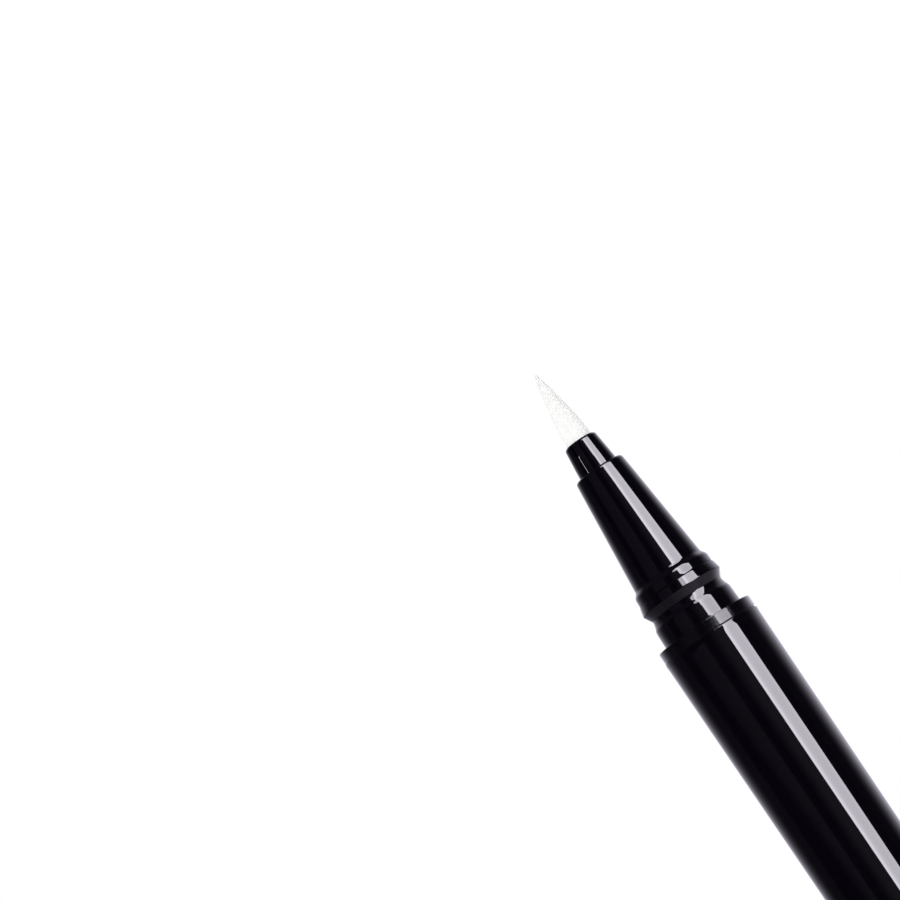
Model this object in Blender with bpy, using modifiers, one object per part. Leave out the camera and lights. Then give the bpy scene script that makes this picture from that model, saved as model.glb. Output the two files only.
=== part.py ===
"""A brush-tip liquid eyeliner pen with its cap off, as the pieces it is put together from.

The pen stands on its tail: the origin is the centre of the tail face and +Z runs along the
pen's axis towards the brush. Lengths are in metres and angles in degrees. Run it with
blender --background --python part.py, or from the text editor.
"""

import math
import random

import bmesh
import bpy
from mathutils import Matrix, Vector

# Fits: the gaps between neighbouring pieces
FIT = 0.0003
SNUG_FIT = 0.0002
BRUSH_FIT = 0.00012

# Tail plug
TAIL_FLANGE_THICKNESS = 0.0012
TAIL_EDGE_ROUND = 0.0003
TAIL_SPIGOT_LENGTH = 0.0065
TAIL_SPIGOT_WALL = 0.0009

# Barrel
BARREL_LENGTH = 0.0903
BARREL_LIP_WALL = 0.00071
BARREL_TAIL_WALL = 0.0010
BARREL_MOUTH_DEPTH = 0.0101
BARREL_LIP_ROUND = 0.0002

# Collar ring
COLLAR_HEIGHT = 0.00115
COLLAR_WIDTH = 0.00076
COLLAR_EDGE_ROUND = 0.0001

# Neck sleeve: the drops are distances below its front face
SLEEVE_LENGTH = 0.01605
SLEEVE_BORE_RADIUS = 0.0033
SLEEVE_RIM_RADIUS = 0.00438
RIDGE_RADIUS = 0.00455
RIDGE_DROP = 0.00078
RIDGE_ROUND = 0.00035
GROOVE_RADIUS = 0.00408
GROOVE_DROP = 0.00198
GROOVE_ROUND = 0.00012
NECK_FRONT_RADIUS = 0.0044
NECK_REAR_RADIUS = 0.00444
NECK_DROP = 0.0030
NECK_SHOULDER_ROUND = 0.0012

# Nose cone
CONE_LENGTH = 0.01371
CONE_RIM_WALL = 0.00041
CONE_REAR_RADIUS = 0.003865
CONE_RIM_ROUND = 0.0003
CONE_BEAD_RADIUS = 0.00431
CONE_BEAD_HEIGHT = 0.0006
CONE_BEAD_ROUND = 0.0006
CONE_RAMP_HEIGHT = 0.00085
NOSE_SPIGOT_WALL = 0.0007
NOSE_WEB_THICKNESS = 0.0020
NOZZLE_SOCKET_DEPTH = 0.00706

# Nozzle and its air slots
NOZZLE_LENGTH = 0.0102
NOZZLE_SHANK_RADIUS = 0.00213
NOZZLE_TIP_WALL = 0.0003
NOZZLE_RIM_ROUND = 0.00012
NOZZLE_MOUTH_LENGTH = 0.0049
NOZZLE_WALL = 0.00036
AIR_SLOT_COUNT = 2
AIR_SLOT_FIRST_ANGLE = 240
AIR_SLOT_WIDTH = 0.0003
AIR_SLOT_RISE = 0.00205
AIR_SLOT_SINK = 0.0005
AIR_SLOT_FLOOR_WALL = 0.00025

# Brush: strands stand in rows of triangular cells, sector by sector
BRUSH_RADIUS = 0.00138
BRUSH_ROOT_SINK = 0.0003
BRUSH_ROOT_FLANGE_THICKNESS = 0.0008
STRAND_LENGTH = 0.0084
STRAND_SHORTEST_SHARE = 0.47
STRAND_UNEVEN_SHARE = 0.13
STRAND_STUB_SHARE = 0.01
STRAND_LENGTH_POWER = 3
STRAND_SEED = 7
STRAND_GAP = 0.00003
BRUSH_SECTORS = 5
BRUSH_ROWS = 8
BRUSH_LEVEL_SHARES = (0.0, 0.40, 0.75, 1.0)
BRUSH_SPREAD_SHARES = (1.0, 0.82, 0.57, 0.34)
STRAND_THICKNESS_SHARES = (1.0, 0.92, 0.8, 0.62)

# Feed parts
RETAINER_LENGTH = 0.0032
RETAINER_EDGE_ROUND = 0.0002
WICK_RADIUS = 0.0006
WICK_OVERHANG = 0.0010
WICK_END_ROUND = 0.00025
STEM_WALL = 0.00045
STEM_TAIL_LENGTH = 0.0064
SEAL_THICKNESS = 0.0007
SEAL_LAND_THICKNESS = 0.0007
COMB_FIN_COUNT = 9
COMB_FIN_THICKNESS = 0.0005
COMB_FIN_GAP = 0.0005
COMB_CHANNEL_WIDTH = 0.0006
COMB_CHANNEL_FLOOR = 0.0002

# Tank, its stopper and the mixing ball
TANK_WALL = 0.0006
TANK_BASE_THICKNESS = 0.0010
TANK_BASE_ROUND = 0.0009
STOPPER_FLANGE_THICKNESS = 0.0014
STOPPER_PLUG_LENGTH = 0.0040
STOPPER_PLUG_WALL = 0.00115
STOPPER_LEAD_ROUND = 0.0004
BALL_RADIUS = 0.0015

# Fineness of the surfaces
OUTER_STEPS = 32
INNER_STEPS = 24
COMB_STEPS = 20
BALL_SEGMENTS = 16
BALL_RINGS = 10
SEAL_SIDES = 8
FILLET_SPANS = 3
SHARP_ANGLE = math.radians(30)
MERGE_DISTANCE = 0.000001
CUT_OVERRUN = 0.0005

# Stations along the axis, from the tail face
BARREL_BASE = TAIL_FLANGE_THICKNESS + FIT
BARREL_FRONT = BARREL_BASE + BARREL_LENGTH
BARREL_MOUTH_FLOOR = BARREL_FRONT - BARREL_MOUTH_DEPTH
TAIL_SPIGOT_TOP = TAIL_FLANGE_THICKNESS + TAIL_SPIGOT_LENGTH
COLLAR_BASE = BARREL_FRONT + FIT
SLEEVE_BASE = BARREL_MOUTH_FLOOR + FIT
SLEEVE_FRONT = SLEEVE_BASE + SLEEVE_LENGTH
CONE_BASE = SLEEVE_FRONT + FIT
CONE_FRONT = CONE_BASE + CONE_LENGTH
SOCKET_FLOOR = CONE_FRONT - NOZZLE_SOCKET_DEPTH
NOZZLE_BASE = SOCKET_FLOOR + FIT
NOZZLE_FRONT = NOZZLE_BASE + NOZZLE_LENGTH
NOZZLE_LEDGE = NOZZLE_FRONT - NOZZLE_MOUTH_LENGTH
STRAND_BASE = NOZZLE_FRONT - BRUSH_ROOT_SINK
BRUSH_FLANGE_TOP = NOZZLE_LEDGE - FIT
BRUSH_BASE = BRUSH_FLANGE_TOP - BRUSH_ROOT_FLANGE_THICKNESS
RETAINER_FRONT = BRUSH_BASE - FIT
RETAINER_BASE = RETAINER_FRONT - RETAINER_LENGTH
STEM_FRONT = RETAINER_BASE - FIT
STOPPER_FRONT = BARREL_MOUTH_FLOOR
STOPPER_FLANGE_BASE = STOPPER_FRONT - STOPPER_FLANGE_THICKNESS
STOPPER_BASE = STOPPER_FLANGE_BASE - STOPPER_PLUG_LENGTH
TANK_BASE = TAIL_SPIGOT_TOP + FIT
TANK_FLOOR = TANK_BASE + TANK_BASE_THICKNESS
TANK_RIM = STOPPER_FLANGE_BASE - FIT
COLLECTOR_BASE = STOPPER_FRONT + FIT
STEM_REAR = COLLECTOR_BASE - STEM_TAIL_LENGTH
WICK_REAR = STEM_REAR - WICK_OVERHANG
SEAL_GROOVE_BASE = COLLECTOR_BASE + SEAL_LAND_THICKNESS
SEAL_GROOVE_TOP = SEAL_GROOVE_BASE + SEAL_THICKNESS + 2 * FIT
SEAL_LAND_TOP = SEAL_GROOVE_TOP + SEAL_LAND_THICKNESS
COMB_PITCH = COMB_FIN_THICKNESS + COMB_FIN_GAP
COMB_FRONT = SEAL_LAND_TOP + COMB_FIN_COUNT * COMB_PITCH
NOSE_SPIGOT_BASE = COMB_FRONT + FIT
BALL_REST = TANK_FLOOR + FIT + BALL_RADIUS

# Radii that follow from what a piece fits into or round, from the wick outwards at the rear
WICK_BORE_RADIUS = WICK_RADIUS + FIT
STEM_RADIUS = WICK_BORE_RADIUS + STEM_WALL
STEM_HOLE_RADIUS = STEM_RADIUS + FIT
STOPPER_PLUG_RADIUS = STEM_HOLE_RADIUS + STOPPER_PLUG_WALL
TANK_BORE_RADIUS = STOPPER_PLUG_RADIUS + FIT
TANK_RADIUS = TANK_BORE_RADIUS + TANK_WALL
BARREL_BORE_RADIUS = TANK_RADIUS + FIT
BARREL_TAIL_RADIUS = BARREL_BORE_RADIUS + BARREL_TAIL_WALL
BARREL_MOUTH_RADIUS = NECK_REAR_RADIUS + FIT
BARREL_FRONT_RADIUS = BARREL_MOUTH_RADIUS + BARREL_LIP_WALL
TAIL_SPIGOT_RADIUS = BARREL_BORE_RADIUS - FIT
COLLAR_HOLE_RADIUS = NECK_REAR_RADIUS + SNUG_FIT
COLLAR_RADIUS = COLLAR_HOLE_RADIUS + COLLAR_WIDTH
NOSE_SPIGOT_RADIUS = SLEEVE_BORE_RADIUS - FIT
NOSE_BORE_RADIUS = NOSE_SPIGOT_RADIUS - NOSE_SPIGOT_WALL
NOZZLE_SOCKET_RADIUS = NOZZLE_SHANK_RADIUS + SNUG_FIT
CONE_FRONT_RADIUS = NOZZLE_SOCKET_RADIUS + CONE_RIM_WALL
NOZZLE_MOUTH_RADIUS = BRUSH_RADIUS + BRUSH_FIT
NOZZLE_TIP_RADIUS = NOZZLE_MOUTH_RADIUS + NOZZLE_TIP_WALL
NOZZLE_BORE_RADIUS = NOZZLE_SHANK_RADIUS - NOZZLE_WALL
BRUSH_FLANGE_RADIUS = NOZZLE_BORE_RADIUS - BRUSH_FIT
RETAINER_RADIUS = NOZZLE_BORE_RADIUS - FIT
COMB_RADIUS = SLEEVE_BORE_RADIUS - FIT
SEAL_RADIUS = COMB_RADIUS - SEAL_THICKNESS / 2
SEAL_GROOVE_RADIUS = COMB_RADIUS - SEAL_THICKNESS - FIT


def clear_scene():
    """Remove every object, so that the pen is alone in the scene."""
    for item in list(bpy.data.objects):
        bpy.data.objects.remove(item, do_unlink=True)


def new_collection(name):
    """Add an empty collection to the scene."""
    collection = bpy.data.collections.new(name)
    bpy.context.scene.collection.children.link(collection)
    return collection


def new_material(name, colour, roughness, metallic=0.0):
    """Make a Principled material with one colour."""
    material = bpy.data.materials.new(name)
    material.use_nodes = True
    shader = material.node_tree.nodes["Principled BSDF"]
    shader.inputs["Base Color"].default_value = (*colour, 1.0)
    shader.inputs["Roughness"].default_value = roughness
    shader.inputs["Metallic"].default_value = metallic
    return material


def new_part(name, mesh, collection, parent, base=0.0):
    """Put a mesh into the scene as a part that stands at a height on the pen's axis."""
    part = bpy.data.objects.new(name, mesh)
    collection.objects.link(part)
    part.parent = parent
    part.location.z = base
    return part


def corner_arc(before, corner, after, radius):
    """Points of the arc that rounds an outline's corner, at most a third of its sides long."""
    to_before = Vector(before) - Vector(corner)
    to_after = Vector(after) - Vector(corner)
    half_angle = to_before.angle(to_after) / 2
    shorter_side = min(to_before.length, to_after.length)
    reach = min(radius / math.tan(half_angle), shorter_side / 3)
    start = Vector(corner) + to_before.normalized() * reach
    end = Vector(corner) + to_after.normalized() * reach
    to_centre = (to_before.normalized() + to_after.normalized()).normalized()
    centre = Vector(corner) + to_centre * reach / math.cos(half_angle)
    first_spoke = start - centre
    points = []
    for step in range(FILLET_SPANS + 1):
        direction = first_spoke.slerp(end - centre, step / FILLET_SPANS)
        points.append(tuple(centre + direction * first_spoke.length))
    return points


def rounded_outline(corners):
    """Round each corner of a turned outline that carries a radius as its third value."""
    outline = []
    for index, (radius, height, *rounding) in enumerate(corners):
        if not rounding:
            outline.append((radius, height))
            continue
        before = corners[index - 1][:2]
        after = corners[(index + 1) % len(corners)][:2]
        outline += corner_arc(before, (radius, height), after, rounding[0])
    return outline


def turned_part(name, corners, collection, parent, base, steps):
    """Turn an outline of radii and heights about the pen's axis.

    The outline runs down its outer side. It starts and ends on the axis for a solid piece,
    and closes on itself for a piece with a bore.
    """
    outline = rounded_outline(corners)
    points = [(radius, 0.0, height - base) for radius, height in outline]
    edges = [(index, index + 1) for index in range(len(points) - 1)]
    if outline[0][0] > 0:
        edges.append((len(points) - 1, 0))
    mesh = bpy.data.meshes.new(name)
    mesh.from_pydata(points, edges, [])
    part = new_part(name, mesh, collection, parent, base)
    screw = part.modifiers.new("turn", "SCREW")
    screw.axis = "Z"
    screw.angle = math.tau
    screw.steps = steps
    screw.render_steps = steps
    screw.use_merge_vertices = True
    screw.merge_threshold = MERGE_DISTANCE
    return part


def box_cutter(name, low, high, angle, collection, parent):
    """Make a box between two corners, turned about the pen's axis, as a cutter."""
    shape = bmesh.new()
    bmesh.ops.create_cube(shape, size=1)
    low, high = Vector(low), Vector(high)
    bmesh.ops.scale(shape, vec=high - low, verts=shape.verts)
    bmesh.ops.translate(shape, vec=(low + high) / 2, verts=shape.verts)
    mesh = bpy.data.meshes.new(name)
    shape.to_mesh(mesh)
    shape.free()
    cutter = new_part(name, mesh, collection, parent)
    cutter.rotation_euler.z = math.radians(angle)
    cutter.hide_render = True
    cutter.display_type = "WIRE"
    return cutter


def cut(part, cutter):
    """Take a cutter's shape out of a part."""
    boolean = part.modifiers.new(cutter.name, "BOOLEAN")
    boolean.operation = "DIFFERENCE"
    boolean.solver = "EXACT"
    boolean.object = cutter


def finish(part, material):
    """Apply a part's modifiers, shade it smooth up to its sharp edges and colour it."""
    depsgraph = bpy.context.evaluated_depsgraph_get()
    mesh = bpy.data.meshes.new_from_object(part.evaluated_get(depsgraph))
    part.modifiers.clear()
    part.data = mesh
    mesh.name = part.name
    mesh.shade_smooth()
    mesh.set_sharp_from_angle(angle=SHARP_ANGLE)
    mesh.materials.clear()
    mesh.materials.append(material)


def tail_plug(collection, parent):
    """The cup-shaped plug that closes the barrel; its flange is the face the pen stands on."""
    bore = TAIL_SPIGOT_RADIUS - TAIL_SPIGOT_WALL
    corners = [
        (0.0, TAIL_FLANGE_THICKNESS),
        (bore, TAIL_FLANGE_THICKNESS),
        (bore, TAIL_SPIGOT_TOP),
        (TAIL_SPIGOT_RADIUS, TAIL_SPIGOT_TOP, TAIL_EDGE_ROUND),
        (TAIL_SPIGOT_RADIUS, TAIL_FLANGE_THICKNESS),
        (BARREL_TAIL_RADIUS, TAIL_FLANGE_THICKNESS),
        (BARREL_TAIL_RADIUS, 0.0, TAIL_EDGE_ROUND),
        (0.0, 0.0),
    ]
    return turned_part("tail_plug", corners, collection, parent, 0.0, OUTER_STEPS)


def barrel(collection, parent):
    """The tapered outer tube, with a wider mouth for the neck sleeve."""
    corners = [
        (BARREL_MOUTH_RADIUS, BARREL_FRONT),
        (BARREL_FRONT_RADIUS, BARREL_FRONT, BARREL_LIP_ROUND),
        (BARREL_TAIL_RADIUS, BARREL_BASE),
        (BARREL_BORE_RADIUS, BARREL_BASE),
        (BARREL_BORE_RADIUS, BARREL_MOUTH_FLOOR),
        (BARREL_MOUTH_RADIUS, BARREL_MOUTH_FLOOR),
    ]
    return turned_part("barrel", corners, collection, parent, BARREL_BASE, OUTER_STEPS)


def collar_ring(collection, parent):
    """The thin ring between the barrel's lip and the cap's rim."""
    top = COLLAR_BASE + COLLAR_HEIGHT
    corners = [
        (COLLAR_HOLE_RADIUS, top),
        (COLLAR_RADIUS, top, COLLAR_EDGE_ROUND),
        (COLLAR_RADIUS, COLLAR_BASE, COLLAR_EDGE_ROUND),
        (COLLAR_HOLE_RADIUS, COLLAR_BASE),
    ]
    return turned_part("collar_ring", corners, collection, parent, COLLAR_BASE, OUTER_STEPS)


def neck_sleeve(collection, parent):
    """The sleeve that stands in the barrel's mouth and carries the cap's snap ridge and groove."""
    corners = [
        (SLEEVE_BORE_RADIUS, SLEEVE_FRONT),
        (SLEEVE_RIM_RADIUS, SLEEVE_FRONT),
        (RIDGE_RADIUS, SLEEVE_FRONT - RIDGE_DROP, RIDGE_ROUND),
        (GROOVE_RADIUS, SLEEVE_FRONT - GROOVE_DROP, GROOVE_ROUND),
        (NECK_FRONT_RADIUS, SLEEVE_FRONT - NECK_DROP, NECK_SHOULDER_ROUND),
        (NECK_REAR_RADIUS, COLLAR_BASE),
        (NECK_REAR_RADIUS, SLEEVE_BASE),
        (SLEEVE_BORE_RADIUS, SLEEVE_BASE),
    ]
    return turned_part("neck_sleeve", corners, collection, parent, SLEEVE_BASE, OUTER_STEPS)


def nose_cone(collection, parent):
    """The cone with its bead, a socket for the nozzle and a spigot into the neck sleeve."""
    bead_top = CONE_BASE + CONE_BEAD_HEIGHT
    web_base = SOCKET_FLOOR - NOSE_WEB_THICKNESS
    corners = [
        (NOZZLE_SOCKET_RADIUS, CONE_FRONT),
        (CONE_FRONT_RADIUS, CONE_FRONT, CONE_RIM_ROUND),
        (CONE_REAR_RADIUS, bead_top + CONE_RAMP_HEIGHT),
        (CONE_BEAD_RADIUS, bead_top, CONE_BEAD_ROUND),
        (CONE_BEAD_RADIUS, CONE_BASE),
        (NOSE_SPIGOT_RADIUS, CONE_BASE),
        (NOSE_SPIGOT_RADIUS, NOSE_SPIGOT_BASE),
        (NOSE_BORE_RADIUS, NOSE_SPIGOT_BASE),
        (NOSE_BORE_RADIUS, web_base),
        (STEM_HOLE_RADIUS, web_base),
        (STEM_HOLE_RADIUS, SOCKET_FLOOR),
        (NOZZLE_SOCKET_RADIUS, SOCKET_FLOOR),
    ]
    return turned_part("nose_cone", corners, collection, parent, NOSE_SPIGOT_BASE, OUTER_STEPS)


def tip_nozzle(collection, cutters, parent):
    """The nozzle that grips the brush, with narrow air slots up its sides."""
    corners = [
        (NOZZLE_MOUTH_RADIUS, NOZZLE_FRONT),
        (NOZZLE_TIP_RADIUS, NOZZLE_FRONT, NOZZLE_RIM_ROUND),
        (NOZZLE_SHANK_RADIUS, CONE_FRONT),
        (NOZZLE_SHANK_RADIUS, NOZZLE_BASE),
        (NOZZLE_BORE_RADIUS, NOZZLE_BASE),
        (NOZZLE_BORE_RADIUS, NOZZLE_LEDGE),
        (NOZZLE_MOUTH_RADIUS, NOZZLE_LEDGE),
    ]
    part = turned_part("tip_nozzle", corners, collection, parent, NOZZLE_BASE, OUTER_STEPS)
    floor = NOZZLE_MOUTH_RADIUS + AIR_SLOT_FLOOR_WALL
    low = (floor, -AIR_SLOT_WIDTH / 2, CONE_FRONT - AIR_SLOT_SINK)
    high = (NOZZLE_SHANK_RADIUS + CUT_OVERRUN, AIR_SLOT_WIDTH / 2, CONE_FRONT + AIR_SLOT_RISE)
    for index in range(AIR_SLOT_COUNT):
        angle = AIR_SLOT_FIRST_ANGLE + index * 360 / AIR_SLOT_COUNT
        cut(part, box_cutter(f"air_slot_{index + 1}", low, high, angle, cutters, parent))
    return part


def round_off_sectors(shape):
    """Draw a disc of flat-sided sectors out to a round disc with evenly spaced cells."""
    sector = math.tau / BRUSH_SECTORS
    for vert in shape.verts:
        if vert.co.xy.length < MERGE_DISTANCE:
            continue
        angle = math.atan2(vert.co.y, vert.co.x) % math.tau
        middle = (math.floor(angle / sector) + 1 / 2) * sector
        offset = angle - middle
        row_radius = vert.co.xy.length * math.cos(offset) / math.cos(sector / 2)
        even_angle = middle + math.tan(offset) / math.tan(sector / 2) * sector / 2
        vert.co.x = row_radius * math.cos(even_angle)
        vert.co.y = row_radius * math.sin(even_angle)


def strand_end(reach, luck):
    """Share of the full length at which a strand ends, from its share of the radius."""
    even_end = 1 - (1 - STRAND_SHORTEST_SHARE) * reach**STRAND_LENGTH_POWER
    return even_end - STRAND_UNEVEN_SHARE * reach * luck


def brush_cells(shape, end_share):
    """Lay out the brush's round end with one triangular cell for each strand.

    Each cell keeps the share of the full length at which its strand will end.
    """
    bmesh.ops.create_circle(
        shape, cap_ends=True, cap_tris=True, segments=BRUSH_SECTORS, radius=BRUSH_RADIUS
    )
    to_x_axis = Matrix.Rotation(-math.pi / 2, 3, "Z")
    bmesh.ops.rotate(shape, verts=shape.verts, cent=(0, 0, 0), matrix=to_x_axis)
    bmesh.ops.subdivide_edges(
        shape, edges=shape.edges, cuts=BRUSH_ROWS - 1, use_grid_fill=True
    )
    round_off_sectors(shape)
    for vert in shape.verts:
        vert.co.z = STRAND_BASE - BRUSH_BASE
    chance = random.Random(STRAND_SEED)
    for cell in shape.faces:
        reach = cell.calc_center_median().xy.length / BRUSH_RADIUS
        cell[end_share] = strand_end(reach, chance.random())
    return list(shape.faces)


def place_root_end(end, widening, station):
    """Move the root's end face to a station on the axis and widen it by a factor."""
    for vert in end.verts:
        vert.co.xy *= widening
        vert.co.z = station - BRUSH_BASE


def grow_root(shape, cells):
    """Extrude the cells down into the fused root, with a flange at its end."""
    grown = bmesh.ops.extrude_face_region(shape, geom=cells)["geom"]
    lower = [item for item in grown if isinstance(item, bmesh.types.BMFace)]
    ends = bmesh.ops.dissolve_faces(shape, faces=lower, use_verts=True)["region"]
    place_root_end(ends[0], 1, BRUSH_FLANGE_TOP)
    ends = bmesh.ops.extrude_discrete_faces(shape, faces=ends)["faces"]
    place_root_end(ends[0], BRUSH_FLANGE_RADIUS / BRUSH_RADIUS, BRUSH_FLANGE_TOP)
    ends = bmesh.ops.extrude_discrete_faces(shape, faces=ends)["faces"]
    place_root_end(ends[0], 1, BRUSH_BASE)


def grow_strands(shape, cells, end_share):
    """Draw in each cell by the gap round its strand and extrude it, level by level, to its end."""
    bmesh.ops.inset_individual(
        shape, faces=cells, thickness=STRAND_GAP / 2, use_even_offset=True
    )
    tips = cells
    for level in range(1, len(BRUSH_LEVEL_SHARES)):
        below, above = BRUSH_LEVEL_SHARES[level - 1 : level + 1]
        spread_below, spread_above = BRUSH_SPREAD_SHARES[level - 1 : level + 1]
        thickness_below, thickness_above = STRAND_THICKNESS_SHARES[level - 1 : level + 1]
        tips = [tip for tip in tips if tip[end_share] > below + STRAND_STUB_SHARE]
        tips = bmesh.ops.extrude_discrete_faces(shape, faces=tips)["faces"]
        for tip in tips:
            end = min(above, tip[end_share])
            climb = (end - below) / (above - below)
            spread = 1 + (spread_above / spread_below - 1) * climb
            thickness = 1 + (thickness_above / thickness_below - 1) * climb
            centre = tip.calc_center_median()
            for vert in tip.verts:
                vert.co.xy = (centre.xy + (vert.co.xy - centre.xy) * thickness) * spread
                vert.co.z = STRAND_BASE - BRUSH_BASE + STRAND_LENGTH * end


def brush_tip(collection, parent):
    """The brush: tapered strands that draw together to a point, fused to one root."""
    shape = bmesh.new()
    end_share = shape.faces.layers.float.new("end_share")
    cells = brush_cells(shape, end_share)
    grow_root(shape, cells)
    grow_strands(shape, cells, end_share)
    bmesh.ops.recalc_face_normals(shape, faces=shape.faces)
    mesh = bpy.data.meshes.new("brush_tip")
    shape.to_mesh(mesh)
    shape.free()
    return new_part("brush_tip", mesh, collection, parent, BRUSH_BASE)


def brush_retainer(collection, parent):
    """The bush that holds the brush's root in the nozzle and guides the wick to it."""
    corners = [
        (WICK_BORE_RADIUS, RETAINER_FRONT),
        (RETAINER_RADIUS, RETAINER_FRONT, RETAINER_EDGE_ROUND),
        (RETAINER_RADIUS, RETAINER_BASE, RETAINER_EDGE_ROUND),
        (WICK_BORE_RADIUS, RETAINER_BASE),
    ]
    return turned_part("brush_retainer", corners, collection, parent, RETAINER_BASE, INNER_STEPS)


def feed_wick(collection, parent):
    """The fibre rod that draws the liquid from the tank to the brush's root."""
    corners = [
        (0.0, RETAINER_FRONT),
        (WICK_RADIUS, RETAINER_FRONT, WICK_END_ROUND),
        (WICK_RADIUS, WICK_REAR, WICK_END_ROUND),
        (0.0, WICK_REAR),
    ]
    return turned_part("feed_wick", corners, collection, parent, WICK_REAR, INNER_STEPS)


def comb_outline():
    """Corners of the collector's fins, from the front fin to the rear one."""
    corners = []
    for index in reversed(range(COMB_FIN_COUNT)):
        fin_base = SEAL_LAND_TOP + index * COMB_PITCH + COMB_FIN_GAP
        fin_top = fin_base + COMB_FIN_THICKNESS
        corners += [
            (STEM_RADIUS, fin_top),
            (COMB_RADIUS, fin_top),
            (COMB_RADIUS, fin_base),
            (STEM_RADIUS, fin_base),
        ]
    return corners


def ink_collector(collection, cutters, parent):
    """The finned collector, with a land for its ring seal and a channel down its comb."""
    corners = [
        (WICK_BORE_RADIUS, STEM_FRONT),
        (STEM_RADIUS, STEM_FRONT),
        *comb_outline(),
        (STEM_RADIUS, SEAL_LAND_TOP),
        (COMB_RADIUS, SEAL_LAND_TOP),
        (COMB_RADIUS, SEAL_GROOVE_TOP),
        (SEAL_GROOVE_RADIUS, SEAL_GROOVE_TOP),
        (SEAL_GROOVE_RADIUS, SEAL_GROOVE_BASE),
        (COMB_RADIUS, SEAL_GROOVE_BASE),
        (COMB_RADIUS, COLLECTOR_BASE),
        (STEM_RADIUS, COLLECTOR_BASE),
        (STEM_RADIUS, STEM_REAR),
        (WICK_BORE_RADIUS, STEM_REAR),
    ]
    part = turned_part("ink_collector", corners, collection, parent, STEM_REAR, COMB_STEPS)
    floor = STEM_RADIUS + COMB_CHANNEL_FLOOR
    low = (floor, -COMB_CHANNEL_WIDTH / 2, SEAL_LAND_TOP + COMB_FIN_GAP / 2)
    high = (COMB_RADIUS + CUT_OVERRUN, COMB_CHANNEL_WIDTH / 2, COMB_FRONT + CUT_OVERRUN)
    cut(part, box_cutter("comb_channel", low, high, 0, cutters, parent))
    return part


def collector_seal(collection, parent):
    """The ring seal between the collector and the neck sleeve's bore."""
    bpy.ops.mesh.primitive_torus_add(
        major_segments=INNER_STEPS,
        minor_segments=SEAL_SIDES,
        major_radius=SEAL_RADIUS,
        minor_radius=SEAL_THICKNESS / 2,
    )
    ring = bpy.context.object
    mesh = ring.data
    bpy.data.objects.remove(ring, do_unlink=True)
    middle = (SEAL_GROOVE_BASE + SEAL_GROOVE_TOP) / 2
    return new_part("collector_seal", mesh, collection, parent, middle)


def tank_stopper(collection, parent):
    """The flanged plug in the tank's mouth, bored for the collector's stem."""
    corners = [
        (STEM_HOLE_RADIUS, STOPPER_FRONT),
        (TANK_RADIUS, STOPPER_FRONT),
        (TANK_RADIUS, STOPPER_FLANGE_BASE),
        (STOPPER_PLUG_RADIUS, STOPPER_FLANGE_BASE),
        (STOPPER_PLUG_RADIUS, STOPPER_BASE, STOPPER_LEAD_ROUND),
        (STEM_HOLE_RADIUS, STOPPER_BASE),
    ]
    return turned_part("tank_stopper", corners, collection, parent, STOPPER_BASE, INNER_STEPS)


def ink_tank(collection, parent):
    """The round-bottomed tube inside the barrel that holds the liquid and the ball."""
    corners = [
        (0.0, TANK_FLOOR),
        (TANK_BORE_RADIUS, TANK_FLOOR, TANK_BASE_ROUND - TANK_WALL),
        (TANK_BORE_RADIUS, TANK_RIM),
        (TANK_RADIUS, TANK_RIM),
        (TANK_RADIUS, TANK_BASE, TANK_BASE_ROUND),
        (0.0, TANK_BASE),
    ]
    return turned_part("ink_tank", corners, collection, parent, TANK_BASE, INNER_STEPS)


def mixing_ball(collection, parent):
    """The loose steel ball, at rest on the tank's floor; it travels along the pen's axis."""
    shape = bmesh.new()
    bmesh.ops.create_uvsphere(
        shape, u_segments=BALL_SEGMENTS, v_segments=BALL_RINGS, radius=BALL_RADIUS
    )
    mesh = bpy.data.meshes.new("mixing_ball")
    shape.to_mesh(mesh)
    shape.free()
    return new_part("mixing_ball", mesh, collection, parent, BALL_REST)


def build_pen():
    """Make every piece of the pen, standing on its tail."""
    clear_scene()
    parts = new_collection("liquid_eyeliner_pen")
    cutters = new_collection("cutters")
    pen_axis = bpy.data.objects.new("pen_axis", None)
    parts.objects.link(pen_axis)

    gloss_black = new_material("gloss_black", (0.008, 0.008, 0.010), 0.10)
    satin_black = new_material("satin_black", (0.014, 0.014, 0.016), 0.28)
    brush_white = new_material("brush_white", (0.90, 0.90, 0.89), 0.45)
    natural_plastic = new_material("natural_plastic", (0.78, 0.78, 0.75), 0.40)
    white_fibre = new_material("white_fibre", (0.85, 0.84, 0.80), 0.80)
    black_rubber = new_material("black_rubber", (0.03, 0.03, 0.03), 0.60)
    steel = new_material("steel", (0.60, 0.60, 0.60), 0.20, metallic=1.0)

    finish(tail_plug(parts, pen_axis), gloss_black)
    finish(barrel(parts, pen_axis), gloss_black)
    finish(collar_ring(parts, pen_axis), satin_black)
    finish(neck_sleeve(parts, pen_axis), gloss_black)
    finish(nose_cone(parts, pen_axis), gloss_black)
    finish(tip_nozzle(parts, cutters, pen_axis), gloss_black)
    finish(brush_tip(parts, pen_axis), brush_white)
    finish(brush_retainer(parts, pen_axis), natural_plastic)
    finish(feed_wick(parts, pen_axis), white_fibre)
    finish(ink_collector(parts, cutters, pen_axis), natural_plastic)
    finish(collector_seal(parts, pen_axis), black_rubber)
    finish(tank_stopper(parts, pen_axis), natural_plastic)
    finish(ink_tank(parts, pen_axis), natural_plastic)
    finish(mixing_ball(parts, pen_axis), steel)


if __name__ == "__main__":
    build_pen()
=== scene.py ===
"""The looks of a brush-tip liquid eyeliner pen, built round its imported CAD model.

The pen stands on its tail: the origin is the centre of the tail face and +Z runs along the
pen's axis to the tip of the brush. Lengths are in metres and angles in degrees.
"""

import logging
import math
import random
from dataclasses import dataclass, field
from enum import Enum, IntEnum

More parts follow.
